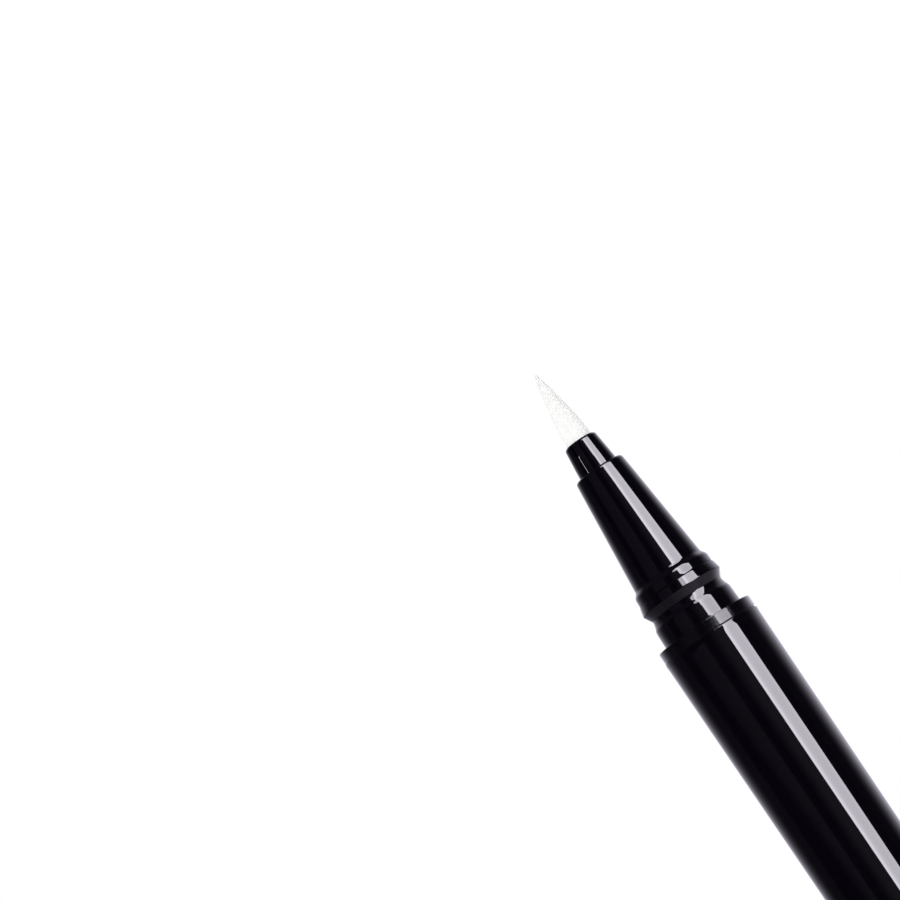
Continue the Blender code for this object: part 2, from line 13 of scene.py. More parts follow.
import bmesh
import bpy
from mathutils import Matrix, Quaternion, Vector


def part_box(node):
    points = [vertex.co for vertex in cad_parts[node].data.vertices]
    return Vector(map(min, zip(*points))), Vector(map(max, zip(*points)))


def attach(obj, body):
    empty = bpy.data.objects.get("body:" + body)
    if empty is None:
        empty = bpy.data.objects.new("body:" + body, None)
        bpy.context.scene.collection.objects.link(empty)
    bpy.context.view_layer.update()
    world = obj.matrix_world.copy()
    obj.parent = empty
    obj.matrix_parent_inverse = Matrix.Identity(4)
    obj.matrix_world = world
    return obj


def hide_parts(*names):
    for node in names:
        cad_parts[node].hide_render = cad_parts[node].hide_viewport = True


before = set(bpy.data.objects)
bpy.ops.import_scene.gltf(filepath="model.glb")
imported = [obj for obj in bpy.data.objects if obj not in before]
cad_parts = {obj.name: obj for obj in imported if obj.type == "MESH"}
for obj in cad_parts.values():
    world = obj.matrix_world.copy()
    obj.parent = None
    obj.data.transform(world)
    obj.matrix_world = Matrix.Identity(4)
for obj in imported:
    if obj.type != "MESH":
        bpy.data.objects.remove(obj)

SEAM = 0.00005
MERGE_DISTANCE = 0.0000005
SHARP_ANGLE = 32
QUARTER_TURN = 90.0
HALF_TURN = 180.0
FULL_TURN = 360.0

log = logging.getLogger("eyeliner_pen")

Colour = tuple[float, float, float]


class Body(Enum):
    """The two bodies of the pen that can move against each other."""

    PEN = "pen"
    BALL = "ball"


class Slot(Enum):
    """The record's material slots."""

    GLOSS_BLACK = "gloss_black"
    SATIN_BLACK = "satin_black"
    BRUSH_FIBRE = "brush_fibre"
    NATURAL_PLASTIC = "natural_plastic"
    WICK_FIBRE = "wick_fibre"
    SEAL_RUBBER = "seal_rubber"
    STEEL = "steel"


class Rounding(IntEnum):
    """How many segments a rounded corner has."""

    TINY = 3
    SMALL = 4
    SLIGHT = 6
    EVEN = 8
    FULL = 10
    WIDE = 16
    BROAD = 24


class MixKind(Enum):
    """A Mix node's data type, its inputs for the share and both values, and its result."""

    LEVEL = ("FLOAT", (0, 2, 3), 0)
    COLOUR = ("RGBA", (0, 6, 7), 2)


@dataclass(frozen=True)
class Span:
    """Where a CAD node lies: its ends on the pen's axis and its outer radius."""

    base: float
    top: float
    radius: float

    @classmethod
    def of(cls, node: str) -> "Span":
        """Measure a CAD node.

        Args:
            node: The node's name.

        Returns:
            Its span.
        """
        low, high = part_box(node)
        return cls(low.z, high.z, high.x)


class NodeGraph:
    """A shader's node tree, with short calls to add nodes and join them."""

    def __init__(self, tree: bpy.types.NodeTree) -> None:
        """Empty a node tree and keep it.

        Args:
            tree: The tree of a material or of the world.
        """
        self.tree = tree
        tree.nodes.clear()

    def add(self, kind: str, **settings: object) -> bpy.types.Node:
        """Add a node.

        Args:
            kind: Blender's name for the node type.
            settings: Properties of the node.

        Returns:
            The new node.
        """
        node = self.tree.nodes.new(kind)
        for name, value in settings.items():
            setattr(node, name, value)
        return node

    def join(self, source: bpy.types.NodeSocket, target: bpy.types.NodeSocket) -> None:
        """Link an output to an input."""
        self.tree.links.new(source, target)

    def put(self, value: object, target: bpy.types.NodeSocket) -> None:
        """Set an input to a value, or link it to an output socket.

        Args:
            value: The value or the socket.
            target: The input.
        """
        if isinstance(value, bpy.types.NodeSocket):
            self.join(value, target)
        else:
            target.default_value = value

    def feed(self, node: bpy.types.Node, **inputs: object) -> bpy.types.Node:
        """Set or link a node's inputs by name, with underscores for spaces.

        Args:
            node: The node to feed.
            inputs: A value or an output socket for each input.

        Returns:
            The same node.
        """
        for name, value in inputs.items():
            self.put(value, node.inputs[name.replace("_", " ")])
        return node

    def calculate(self, operation: str, *values: object) -> bpy.types.NodeSocket:
        """Add a Math node.

        Args:
            operation: Blender's name for the operation.
            values: A number or an output socket for each operand.

        Returns:
            The result's socket.
        """
        node = self.add("ShaderNodeMath", operation=operation)
        for target, value in zip(node.inputs, values):
            self.put(value, target)
        return node.outputs[0]

    def between(self, value: bpy.types.NodeSocket, low: float, high: float,
                start: float = 0.0, end: float = 1.0) -> bpy.types.NodeSocket:
        """Fade smoothly from one value to another.

        Args:
            value: What the fade follows.
            low: Where the fade starts.
            high: Where it ends.
            start: The result at low and below.
            end: The result at high and above.

        Returns:
            The result's socket.
        """
        node = self.add("ShaderNodeMapRange", interpolation_type="SMOOTHSTEP")
        self.feed(node, Value=value, From_Min=low, From_Max=high, To_Min=start, To_Max=end)
        return node.outputs["Result"]

    def mix(self, share: object, first: object, second: object,
            kind: MixKind = MixKind.COLOUR) -> bpy.types.NodeSocket:
        """Mix two colours or two levels.

        Args:
            share: How much of the second one, as a number or a socket.
            first: A colour, a level or a socket.
            second: A colour, a level or a socket.
            kind: What is mixed.

        Returns:
            The mixture's socket.
        """
        data_type, inputs, result = kind.value
        node = self.add("ShaderNodeMix", data_type=data_type)
        for index, value in zip(inputs, (share, first, second)):
            self.put(value, node.inputs[index])
        return node.outputs[result]

    def tint(self, level: bpy.types.NodeSocket, colour: Colour) -> bpy.types.NodeSocket:
        """Give a level a colour.

        Args:
            level: The level.
            colour: The colour at level 1.

        Returns:
            The coloured level's socket.
        """
        node = self.add("ShaderNodeVectorMath", operation="SCALE")
        node.inputs[0].default_value = colour
        self.join(level, node.inputs["Scale"])
        return node.outputs[0]

    def ramp(self, value: bpy.types.NodeSocket,
             stops: list[tuple[float, tuple[float, ...]]]) -> bpy.types.NodeSocket:
        """Look a colour up along a row of stops.

        Args:
            value: The place along the row, from 0 to 1.
            stops: The place and the colour of each stop.

        Returns:
            The colour's socket.
        """
        node = self.add("ShaderNodeValToRGB")
        elements = node.color_ramp.elements
        while len(elements) < len(stops):
            elements.new(1.0)
        for element, (place, colour) in zip(elements, stops):
            element.position = place
            element.color = (*colour, 1.0)
        self.join(value, node.inputs["Fac"])
        return node.outputs["Color"]

    def noise(self, place: bpy.types.NodeSocket, grain: float, detail: float,
              stretch: float = 1.0) -> bpy.types.NodeSocket:
        """Add a noise pattern in the object's own space.

        Args:
            place: The place to read the pattern at.
            grain: The size of the pattern's grains.
            detail: How many finer layers the pattern has.
            stretch: How many times longer the grains are along the pen's axis.

        Returns:
            The pattern's socket, from 0 to 1.
        """
        mapping = self.add("ShaderNodeMapping")
        self.feed(mapping, Vector=place, Scale=(1 / grain, 1 / grain, 1 / (grain * stretch)))
        node = self.add("ShaderNodeTexNoise")
        self.feed(node, Vector=mapping.outputs["Vector"], Scale=1.0, Detail=detail)
        return node.outputs["Fac"]


FINE_DETAIL = 3.0
PLAIN_DETAIL = 2.0
CLOUD_EDGES = (0.3, 0.7)
ATTRIBUTE_SHARE = 0.5


@dataclass(frozen=True)
class Finish:
    """A surface finish: a Principled shader whose colour, roughness and relief vary.

    The grain sizes are those of the pattern that each of them follows, and stretch draws the
    patterns out along the pen's axis.
    """

    name: str
    slot: Slot
    colour: Colour
    second_colour: Colour
    roughness: tuple[float, float]
    colour_grain: float = 0.0015
    roughness_grain: float = 0.0008
    relief_grain: float = 0.0002
    relief_depth: float = 0.0
    relief_stretch: float = 0.0
    stretch: float = 1.0
    metallic: float = 0.0
    ior: float = 1.5
    specular: float = 0.5
    subsurface: float = 0.0
    subsurface_reach: float = 0.0005
    coat_ior: float = 0.0
    attribute: str = ""

    def material(self) -> bpy.types.Material:
        """Make the finish's material, or find it if it is made already.

        Returns:
            The material.
        """
        made = bpy.data.materials.get(self.name)
        if made:
            return made
        material = bpy.data.materials.new(self.name)
        material.use_nodes = True
        graph = NodeGraph(material.node_tree)
        place = graph.add("ShaderNodeTexCoord").outputs["Object"]
        shader = graph.add("ShaderNodeBsdfPrincipled")
        cloud = graph.noise(place, self.colour_grain, FINE_DETAIL, self.stretch)
        if self.attribute:
            strand = graph.add("ShaderNodeAttribute", attribute_name=self.attribute)
            rest = graph.calculate("MULTIPLY", cloud, 1 - ATTRIBUTE_SHARE)
            cloud = graph.calculate("MULTIPLY_ADD", strand.outputs["Fac"], ATTRIBUTE_SHARE, rest)
        first, second = (*self.colour, 1.0), (*self.second_colour, 1.0)
        colour = graph.mix(graph.between(cloud, *CLOUD_EDGES), first, second)
        patches = graph.noise(place, self.roughness_grain, PLAIN_DETAIL, self.stretch)
        roughness = graph.between(patches, *CLOUD_EDGES, *self.roughness)
        graph.feed(shader, Base_Color=colour, Roughness=roughness, Metallic=self.metallic,
                   IOR=self.ior, Specular_IOR_Level=self.specular)
        if self.subsurface:
            graph.feed(shader, Subsurface_Weight=self.subsurface,
                       Subsurface_Scale=self.subsurface_reach)
        if self.coat_ior:
            graph.feed(shader, Coat_Weight=1.0, Coat_Roughness=roughness, Coat_IOR=self.coat_ior)
        if self.relief_depth:
            stretch = self.relief_stretch or self.stretch
            relief = graph.noise(place, self.relief_grain, FINE_DETAIL, stretch)
            bump = graph.add("ShaderNodeBump")
            graph.feed(bump, Height=relief, Distance=self.relief_depth, Strength=1.0)
            graph.join(bump.outputs["Normal"], shader.inputs["Normal"])
        output = graph.add("ShaderNodeOutputMaterial")
        graph.join(shader.outputs["BSDF"], output.inputs["Surface"])
        return material


GLOSS_BLACK = Finish(
    "gloss_black_mouldings", Slot.GLOSS_BLACK, (0.0010, 0.0005, 0.0021), (0.0014, 0.0009, 0.0026),
    (0.025, 0.045), relief_grain=0.004, relief_depth=0.000002,
)
SATIN_BLACK = Finish(
    "satin_black_collar", Slot.SATIN_BLACK, (0.0014, 0.0009, 0.0024), (0.0020, 0.0015, 0.0030),
    (0.03, 0.05), relief_grain=0.008, relief_depth=0.00001, relief_stretch=0.004, specular=0.15,
    coat_ior=1.34,
)
BRUSH_FIBRE = Finish(
    "brush_fibre", Slot.BRUSH_FIBRE, (0.985, 0.986, 0.982), (0.97, 0.971, 0.967), (0.5, 0.65),
    colour_grain=0.0003, roughness_grain=0.0002, stretch=8.0, specular=0.1,
    attribute="strand_luck",
)
BRUSH_CORE = Finish(
    "packed_brush_fibre", Slot.BRUSH_FIBRE, (0.985, 0.986, 0.982), (0.97, 0.971, 0.967), (0.5, 0.65),
    colour_grain=0.0002, relief_grain=0.00005, relief_depth=0.000004, stretch=25.0, specular=0.1,
)
NATURAL_PLASTIC = Finish(
    "natural_plastic", Slot.NATURAL_PLASTIC, (0.78, 0.78, 0.75), (0.72, 0.72, 0.69), (0.3, 0.45),
    relief_grain=0.0003, relief_depth=0.000003, subsurface=0.3,
)
WICK_FIBRE = Finish(
    "wick_fibre", Slot.WICK_FIBRE, (0.87, 0.86, 0.82), (0.74, 0.73, 0.69), (0.7, 0.9),
    colour_grain=0.0001, relief_grain=0.00005, relief_depth=0.00002, stretch=20.0,
)
SEAL_RUBBER = Finish(
    "seal_rubber", Slot.SEAL_RUBBER, (0.028, 0.028, 0.028), (0.040, 0.039, 0.038), (0.5, 0.7),
    relief_grain=0.0001, relief_depth=0.000006,
)
STEEL = Finish(
    "ground_steel", Slot.STEEL, (0.62, 0.62, 0.62), (0.54, 0.54, 0.55), (0.12, 0.22),
    relief_grain=0.0001, relief_depth=0.000001, metallic=1.0,
)


@dataclass(frozen=True)
class Corner:
    """A corner of a turned outline, and how far its rounding reaches along both sides."""

    radius: float
    height: float
    reach: float = 0.0
    segments: int = Rounding.EVEN


@dataclass(frozen=True)
class Lathe:
    """Turns outlines about the pen's axis.

    Straight sides get a support ring close to each of their ends, which keeps their shading
    straight up to the rounded corners.
    """

    steps: int = 128
    support: float = 0.00003

    def supported(self, corners: list[Corner]) -> list[Corner]:
        """Add the support rings to an outline.

        Args:
            corners: The outline's corners in order.

        Returns:
            The corners with the supports between them.
        """
        closed = corners[0].radius > 0
        following = corners[1:] + (corners[:1] if closed else [])
        outline = []
        for start, end in zip(corners, following):
            outline.append(start)
            near, far = start.reach + self.support, end.reach + self.support
            length = math.hypot(end.radius - start.radius, end.height - start.height)
            if length > near + far + 2 * self.support:
                for share in (near / length, 1 - far / length):
                    outline.append(Corner(
                        start.radius + (end.radius - start.radius) * share,
                        start.height + (end.height - start.height) * share,
                    ))
        return outline if closed else outline + corners[-1:]

    def turn(self, corners: list[Corner]) -> bmesh.types.BMesh:
        """Turn an outline that starts and ends on the axis, or closes on itself.

        Args:
            corners: The outline's corners in order.

        Returns:
            The turned shape, closed and facing outwards.
        """
        corners = self.supported(corners)
        shape = bmesh.new()
        points = [shape.verts.new((corner.radius, 0.0, corner.height)) for corner in corners]
        for pair in zip(points, points[1:]):
            shape.edges.new(pair)
        if corners[0].radius > 0:
            shape.edges.new((points[-1], points[0]))
        for point, corner in zip(points, corners):
            if corner.reach:
                bmesh.ops.bevel(
                    shape, geom=[point], offset=corner.reach, offset_type="OFFSET",
                    affect="VERTICES", segments=corner.segments, profile=0.5, material=-1,
                )
        bmesh.ops.spin(
            shape, geom=shape.verts[:] + shape.edges[:], cent=(0, 0, 0), axis=(0, 0, 1),
            dvec=(0, 0, 0), angle=math.tau, steps=self.steps, use_merge=True,
        )
        bmesh.ops.remove_doubles(shape, verts=shape.verts, dist=MERGE_DISTANCE)
        bmesh.ops.recalc_face_normals(shape, faces=shape.faces)
        return shape


def place_piece(name: str, shape: bmesh.types.BMesh, finish: Finish,
                body: Body = Body.PEN) -> bpy.types.Object:
    """Make a piece of the pen from a shape.

    Args:
        name: The piece's name.
        shape: Its shape, which is used up.
        finish: Its finish.
        body: The body that it moves with.

    Returns:
        The piece.
    """
    mesh = bpy.data.meshes.new(name)
    shape.to_mesh(mesh)
    shape.free()
    mesh.shade_smooth()
    mesh.set_sharp_from_angle(angle=math.radians(SHARP_ANGLE))
    mesh.materials.append(finish.material())
    piece = bpy.data.objects.new(name, mesh)
    bpy.context.scene.collection.objects.link(piece)
    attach(piece, body.value)
    log.info("%s: %d faces, %s", name, len(mesh.polygons), finish.name)
    return piece


@dataclass
class Casing:
    """The barrel with its tail plug and its collar ring."""

    flange_thickness: float = 0.0012
    tail_edge_reach: float = 0.00025
    tail_seam_reach: float = 0.00008
    lip_wall: float = 0.00071
    lip_reach: float = 0.00006
    flare: float = 0.00004
    flare_length: float = 0.0010
    flare_points: int = 8
    bore_wall: float = 0.0010
    mouth_depth: float = 0.0101
    spigot_wall: float = 0.0009
    spigot_gap: float = 0.0003
    collar_height: float = 0.00126
    collar_edge_reach: float = 0.00007
    collar_hole_gap: float = 0.0001
    lathe: Lathe = field(default_factory=Lathe)

    def tail_plug(self) -> None:
        """Build the plug that closes the rear of the barrel."""
        span = Span.of("tail_plug")
        spigot = span.radius - self.bore_wall - self.spigot_gap
        bore = spigot - self.spigot_wall
        corners = [
            Corner(0.0, self.flange_thickness),
            Corner(bore, self.flange_thickness),
            Corner(bore, span.top),
            Corner(spigot, span.top, self.tail_seam_reach),
            Corner(spigot, self.flange_thickness),
            Corner(span.radius, self.flange_thickness, self.tail_seam_reach),
            Corner(span.radius, span.base, self.tail_edge_reach),
            Corner(0.0, span.base),
        ]
        plug = place_piece("rear_plug", self.lathe.turn(corners), GLOSS_BLACK)
        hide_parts("tail_plug")

    def flare_corners(self, body_radius: float, top: float) -> list[Corner]:
        """Lay out the slight flare below the barrel's lip.

        Args:
            body_radius: The barrel's radius where the flare starts.
            top: The station of the lip.

        Returns:
            The flare's corners from the lip down.
        """
        corners = []
        for index in range(self.flare_points - 1, -1, -1):
            share = index / self.flare_points
            corners.append(Corner(body_radius + self.flare * share**2,
                                  top - self.flare_length * (1 - share)))
        return corners

    def barrel(self) -> None:
        """Build the long tapered tube, which flares slightly at its lip."""
        span, tail = Span.of("barrel"), Span.of("tail_plug")
        top = span.top
        base = self.flange_thickness + SEAM
        mouth = span.radius - self.lip_wall
        bore = tail.radius - self.bore_wall
        mouth_floor = span.top - self.mouth_depth
        corners = [
            Corner(mouth, top),
            Corner(span.radius, top, self.lip_reach),
            *self.flare_corners(span.radius - self.flare, top),
            Corner(tail.radius, base, self.tail_seam_reach),
            Corner(bore, base),
            Corner(bore, mouth_floor),
            Corner(mouth, mouth_floor),
        ]
        tube = place_piece("barrel_tube", self.lathe.turn(corners), GLOSS_BLACK)
        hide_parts("barrel")

    def collar_ring(self) -> None:
        """Build the thin ring between the barrel's lip and the neck."""
        span, barrel = Span.of("collar_ring"), Span.of("barrel")
        base = barrel.top + SEAM
        top = base + self.collar_height
        hole = barrel.radius - self.lip_wall - self.collar_hole_gap
        corners = [
            Corner(hole, top, self.collar_edge_reach, Rounding.TINY),
            Corner(span.radius, top, self.collar_edge_reach, Rounding.SMALL),
            Corner(span.radius, base, self.collar_edge_reach, Rounding.SMALL),
            Corner(hole, base),
        ]
        ring = place_piece("collar_band", self.lathe.turn(corners), SATIN_BLACK)
        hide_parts("collar_ring")

    def build(self) -> None:
        """Build the casing's pieces."""
        self.tail_plug()
        self.barrel()
        self.collar_ring()


@dataclass
class Neck:
    """The neck sleeve, with the ridge and the groove that hold the cap."""

    bore: float = 0.0033
    rim_radius: float = 0.00437
    rim_reach: float = 0.00004
    ridge_radius: float = 0.004595
    ridge_drop: float = 0.000966
    ridge_reach: float = 0.00008
    notch_radius: float = 0.004075
    notch_drop: float = 0.00188
    notch_reach: float = 0.00012
    groove_radius: float = 0.004133
    groove_drop: float = 0.00239
    groove_reach: float = 0.0003
    shoulder_radius: float = 0.00439
    shoulder_drop: float = 0.002917
    shoulder_reach: float = 0.00016
    waist_radius: float = 0.00442
    waist_drop: float = 0.00336
    waist_reach: float = 0.00012
    rear_radius: float = 0.00445
    rear_drop: float = 0.00478
    lathe: Lathe = field(default_factory=Lathe)

    def build(self) -> None:
        """Build the sleeve."""
        span, cone_base = Span.of("neck_sleeve"), Nose.bead_base()
        front = cone_base - SEAM
        corners = [
            Corner(self.bore, front),
            Corner(self.rim_radius, front, self.rim_reach, Rounding.SMALL),
            Corner(self.ridge_radius, front - self.ridge_drop, self.ridge_reach),
            Corner(self.notch_radius, front - self.notch_drop, self.notch_reach),
            Corner(self.groove_radius, front - self.groove_drop, self.groove_reach, Rounding.BROAD),
            Corner(self.shoulder_radius, front - self.shoulder_drop, self.shoulder_reach,
                   Rounding.WIDE),
            Corner(self.waist_radius, front - self.waist_drop, self.waist_reach, Rounding.SLIGHT),
            Corner(self.rear_radius, front - self.rear_drop),
            Corner(self.rear_radius, span.base),
            Corner(self.bore, span.base),
        ]
        sleeve = place_piece("neck_snap_sleeve", self.lathe.turn(corners), GLOSS_BLACK)
        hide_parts("neck_sleeve")


@dataclass
class Nose:
    """The nose cone with its bead, and the nozzle with its air slots."""

    joint_lift: float = 0.00008
    bead_side_drop: float = 0.00035
    bead_side_reach: float = 0.0002
    bead_radius: float = 0.00428
    bead_drop: float = 0.000893
    bead_reach: float = 0.00017
    bead_edge_reach: float = 0.00004
    ramp_radius: float = 0.003887
    ramp_height: float = 0.000527
    ramp_reach: float = 0.00015
    rim_wall: float = 0.00056
    rim_reach: float = 0.0003
    socket_edge_reach: float = 0.000075
    ease: float = 0.000015
    ease_length: float = 0.0020
    ease_points: int = 6
    socket_depth: float = 0.00706
    bore: float = 0.0023
    spigot_radius: float = 0.0030
    web_thickness: float = 0.0020
    web_hole: float = 0.00165
    nozzle_tip_radius: float = 0.0018
    nozzle_chamfer: float = 0.0002
    nozzle_rim_reach: float = 0.00006
    mouth_reach: float = 0.00004
    nozzle_wall: float = 0.0003
    kink_radius: float = 0.002023
    kink_drop: float = 0.00222
    slot_angles: tuple[float, ...] = (242.5, 62.5)
    slot_drop: float = 0.00132
    slot_depth: float = 0.00012
    slot_lead: float = 0.0002
    lathe: Lathe = field(default_factory=Lathe)
    nozzle_lathe: Lathe = Lathe(144)

    @classmethod
    def bead_base(cls) -> float:
        """Return the station of the fine joint line below the bead."""
        return Span.of("neck_sleeve").top + cls.joint_lift

    def cone(self) -> None:
        """Build the nose cone."""
        span, nozzle = Span.of("nose_cone"), Span.of("tip_nozzle")
        socket = nozzle.radius + SEAM
        base = self.bead_base()
        front_radius = socket + self.rim_wall
        ramp_top = base + self.bead_drop + self.ramp_height
        slope = (self.ramp_radius - front_radius) / (span.top - ramp_top)
        corners = [Corner(socket, span.top, self.socket_edge_reach, Rounding.SMALL)]
        corners.append(Corner(front_radius - self.ease, span.top, self.rim_reach))
        for index in range(1, self.ease_points + 1):
            share = index / self.ease_points
            drop = self.rim_reach + (self.ease_length - self.rim_reach) * share
            radius = front_radius + slope * drop - self.ease * (1 - share) ** 2
            corners.append(Corner(radius, span.top - drop))
        web_base = span.top - self.socket_depth - self.web_thickness
        corners += [
            Corner(self.ramp_radius, ramp_top, self.ramp_reach, Rounding.FULL),
            Corner(self.bead_radius, base + self.bead_drop, self.bead_reach, Rounding.WIDE),
            Corner(span.radius, base + self.bead_side_drop, self.bead_side_reach),
            Corner(span.radius, base, self.bead_edge_reach, Rounding.SMALL),
            Corner(self.spigot_radius, base),
            Corner(self.spigot_radius, span.base),
            Corner(self.bore, span.base),
            Corner(self.bore, web_base),
            Corner(self.web_hole, web_base),
            Corner(self.web_hole, span.top - self.socket_depth),
            Corner(socket, span.top - self.socket_depth),
        ]
        piece = place_piece("beaded_nose_cone", self.lathe.turn(corners), GLOSS_BLACK)
        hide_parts("nose_cone")

    def press_slot(self, shape: bmesh.types.BMesh, angle: float, foot: float) -> None:
        """Press a narrow V-shaped air slot into the nozzle's side.

        Args:
            shape: The nozzle.
            angle: The slot's direction about the axis, from +X.
            foot: The station of the slot's lower end.
        """
        outwards = Vector((math.cos(math.radians(angle)), math.sin(math.radians(angle))))
        half_step = math.pi / self.nozzle_lathe.steps
        top = Span.of("tip_nozzle").top - self.slot_drop
        for vert in shape.verts:
            flat = vert.co.xy
            if flat.length < self.nozzle_tip_radius or not foot < vert.co.z < top:
                continue
            if flat.angle(outwards) < half_step:
                lead = min(1.0, (top - vert.co.z) / self.slot_lead)
                vert.co.xy = flat * (1 - self.slot_depth * lead / flat.length)

    def nozzle(self) -> None:
        """Build the nozzle and its air slots."""
        span, cone = Span.of("tip_nozzle"), Span.of("nose_cone")
        mouth = self.nozzle_tip_radius - self.nozzle_wall
        kink = span.top - self.kink_drop
        slot_top = span.top - self.slot_drop
        corners = [
            Corner(mouth, span.top, self.mouth_reach, Rounding.TINY),
            Corner(self.nozzle_tip_radius - self.nozzle_chamfer, span.top, self.mouth_reach,
                   Rounding.TINY),
            Corner(self.nozzle_tip_radius, span.top - self.nozzle_chamfer, self.nozzle_rim_reach),
            Corner(self.kink_radius, kink),
            Corner(span.radius, cone.top),
            Corner(span.radius, span.base),
            Corner(mouth, span.base),
        ]
        shape = self.nozzle_lathe.turn(corners)
        for station in (slot_top, slot_top - self.slot_lead, slot_top - 2 * self.slot_lead,
                        cone.top - self.slot_lead):
            bmesh.ops.bisect_plane(
                shape, geom=shape.verts[:] + shape.edges[:] + shape.faces[:],
                plane_co=(0, 0, station), plane_no=(0, 0, 1), dist=MERGE_DISTANCE,
            )
        for angle in self.slot_angles:
            self.press_slot(shape, angle, cone.top - 2 * self.slot_lead)
        piece = place_piece("vented_nozzle", shape, GLOSS_BLACK)
        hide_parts("tip_nozzle")

    def build(self) -> None:
        """Build the nose's pieces."""
        self.cone()
        self.nozzle()


@dataclass
class Brush:
    """The brush: fine tapered strands laid round a packed core that draws to a point.

    Each layer has its number of strands and its share of the brush's radius. The outline gives
    the share of the radius that is left at a share of the visible length.
    """

    radius: float = 0.00141
    visible_base_sink: float = 0.0003
    strand_sides: int = 3
    strand_radius: float = 0.000038
    strand_jitter: float = 0.1
    strand_lean: float = 0.06
    core_depth: float = 0.000026
    layers: tuple[tuple[int, float], ...] = ((131, 0.985), (137, 1.0))
    outline: tuple[tuple[float, float], ...] = (
        (0.0, 1.0), (0.09, 0.985), (0.16, 0.955), (0.26, 0.895), (0.36, 0.81), (0.46, 0.72),
        (0.54, 0.635), (0.63, 0.54), (0.75, 0.42), (0.85, 0.28), (0.93, 0.165), (1.0, 0.045),
    )
    shortest_share: float = 0.92
    thinnest_share: float = 0.6
    wander: float = 0.03
    seed: int = 11
    root_flange: float = 0.0008
    core_lathe: Lathe = Lathe(96)

    def spread(self, climb: float) -> float:
        """Share of the brush's radius that is left at a share of its visible length.

        Args:
            climb: The share of the visible length, which may be below 0 inside the nozzle.

        Returns:
            The share of the radius.
        """
        for (low, wide), (high, narrow) in zip(self.outline, self.outline[1:]):
            if climb <= high:
                return wide + (narrow - wide) * max(0.0, climb - low) / (high - low)
        return self.outline[-1][1]

    def lay_out(self, shape: bmesh.types.BMesh, station: float) -> None:
        """Set out one small triangle for each strand, flat side outwards, layer by layer.

        Args:
            shape: The shape to fill.
            station: The height of the triangles.
        """
        chance = random.Random(self.seed)
        luck = shape.faces.layers.float["strand_luck"]
        end = shape.faces.layers.float["strand_end"]
        for count, reach in self.layers:
            for index in range(count):
                place = index + chance.uniform(-self.strand_jitter, self.strand_jitter)
                turn = Matrix.Rotation(math.tau * place / count, 4, "Z")
                distance = reach * (self.radius - self.strand_radius / 2)
                outwards = Matrix.Translation((distance, 0, station))
                lean = chance.uniform(-self.strand_lean, self.strand_lean)
                flat_turn = math.pi / 2 / self.strand_sides
                twist = Matrix.Rotation(lean - flat_turn, 4, "Z")
                bmesh.ops.create_circle(shape, cap_ends=True, segments=self.strand_sides,
                                        radius=self.strand_radius, matrix=turn @ outwards @ twist)
                shape.faces.ensure_lookup_table()
                cell = shape.faces[-1]
                cell[luck] = chance.random()
                cell[end] = 1 - (1 - self.shortest_share) * chance.random() ** 2

    def grow(self, shape: bmesh.types.BMesh, front: float, length: float) -> None:
        """Extrude every strand level by level towards the brush's point.

        Args:
            shape: The laid-out strands.
            front: The station of the nozzle's mouth.
            length: The visible length of the brush.
        """
        end = shape.faces.layers.float["strand_end"]
        luck = shape.faces.layers.float["strand_luck"]
        tips = list(shape.faces)
        levels = [climb for climb, _ in self.outline]
        for below, above in zip(levels, levels[1:]):
            tips = bmesh.ops.extrude_discrete_faces(shape, faces=tips)["faces"]
            for tip in tips:
                low, high = below * tip[end], above * tip[end]
                squeeze = self.spread(high) / self.spread(low)
                thickness = 1 - (1 - self.thinnest_share) * above**3
                thickness /= 1 - (1 - self.thinnest_share) * below**3
                drift = Matrix.Rotation(self.wander * (tip[luck] - 0.5) * (above - below), 2)
                centre = tip.calc_center_median().xy
                for vert in tip.verts:
                    offset = (vert.co.xy - centre) * thickness
                    vert.co.xy = drift @ ((centre + offset) * squeeze)
                    vert.co.z = front + length * high

    def hairs(self) -> None:
        """Build the strands that show on the outside."""
        nozzle, brush = Span.of("tip_nozzle"), Span.of("brush_tip")
        shape = bmesh.new()
        shape.faces.layers.float.new("strand_luck")
        shape.faces.layers.float.new("strand_end")
        self.lay_out(shape, nozzle.top - self.visible_base_sink)
        self.grow(shape, nozzle.top, brush.top - nozzle.top)
        bmesh.ops.recalc_face_normals(shape, faces=shape.faces)
        hairs = place_piece("brush_hairs", shape, BRUSH_FIBRE)
        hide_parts("brush_tip")

    def core(self) -> None:
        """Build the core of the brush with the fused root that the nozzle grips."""
        nozzle, brush = Span.of("tip_nozzle"), Span.of("brush_tip")
        shoulder = brush.base + self.root_flange
        length = brush.top - nozzle.top
        radius = self.radius - self.core_depth
        corners = [Corner(0.0, brush.top - self.core_depth)]
        for climb, share in reversed(self.outline[:-1]):
            corners.append(Corner(radius * share, nozzle.top + length * climb))
        corners += [
            Corner(radius, shoulder),
            Corner(brush.radius, shoulder),
            Corner(brush.radius, brush.base),
            Corner(0.0, brush.base),
        ]
        core = place_piece("brush_core", self.core_lathe.turn(corners), BRUSH_CORE)
        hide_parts("brush_tip")

    def build(self) -> None:
        """Build the brush's pieces."""
        self.core()
        self.hairs()


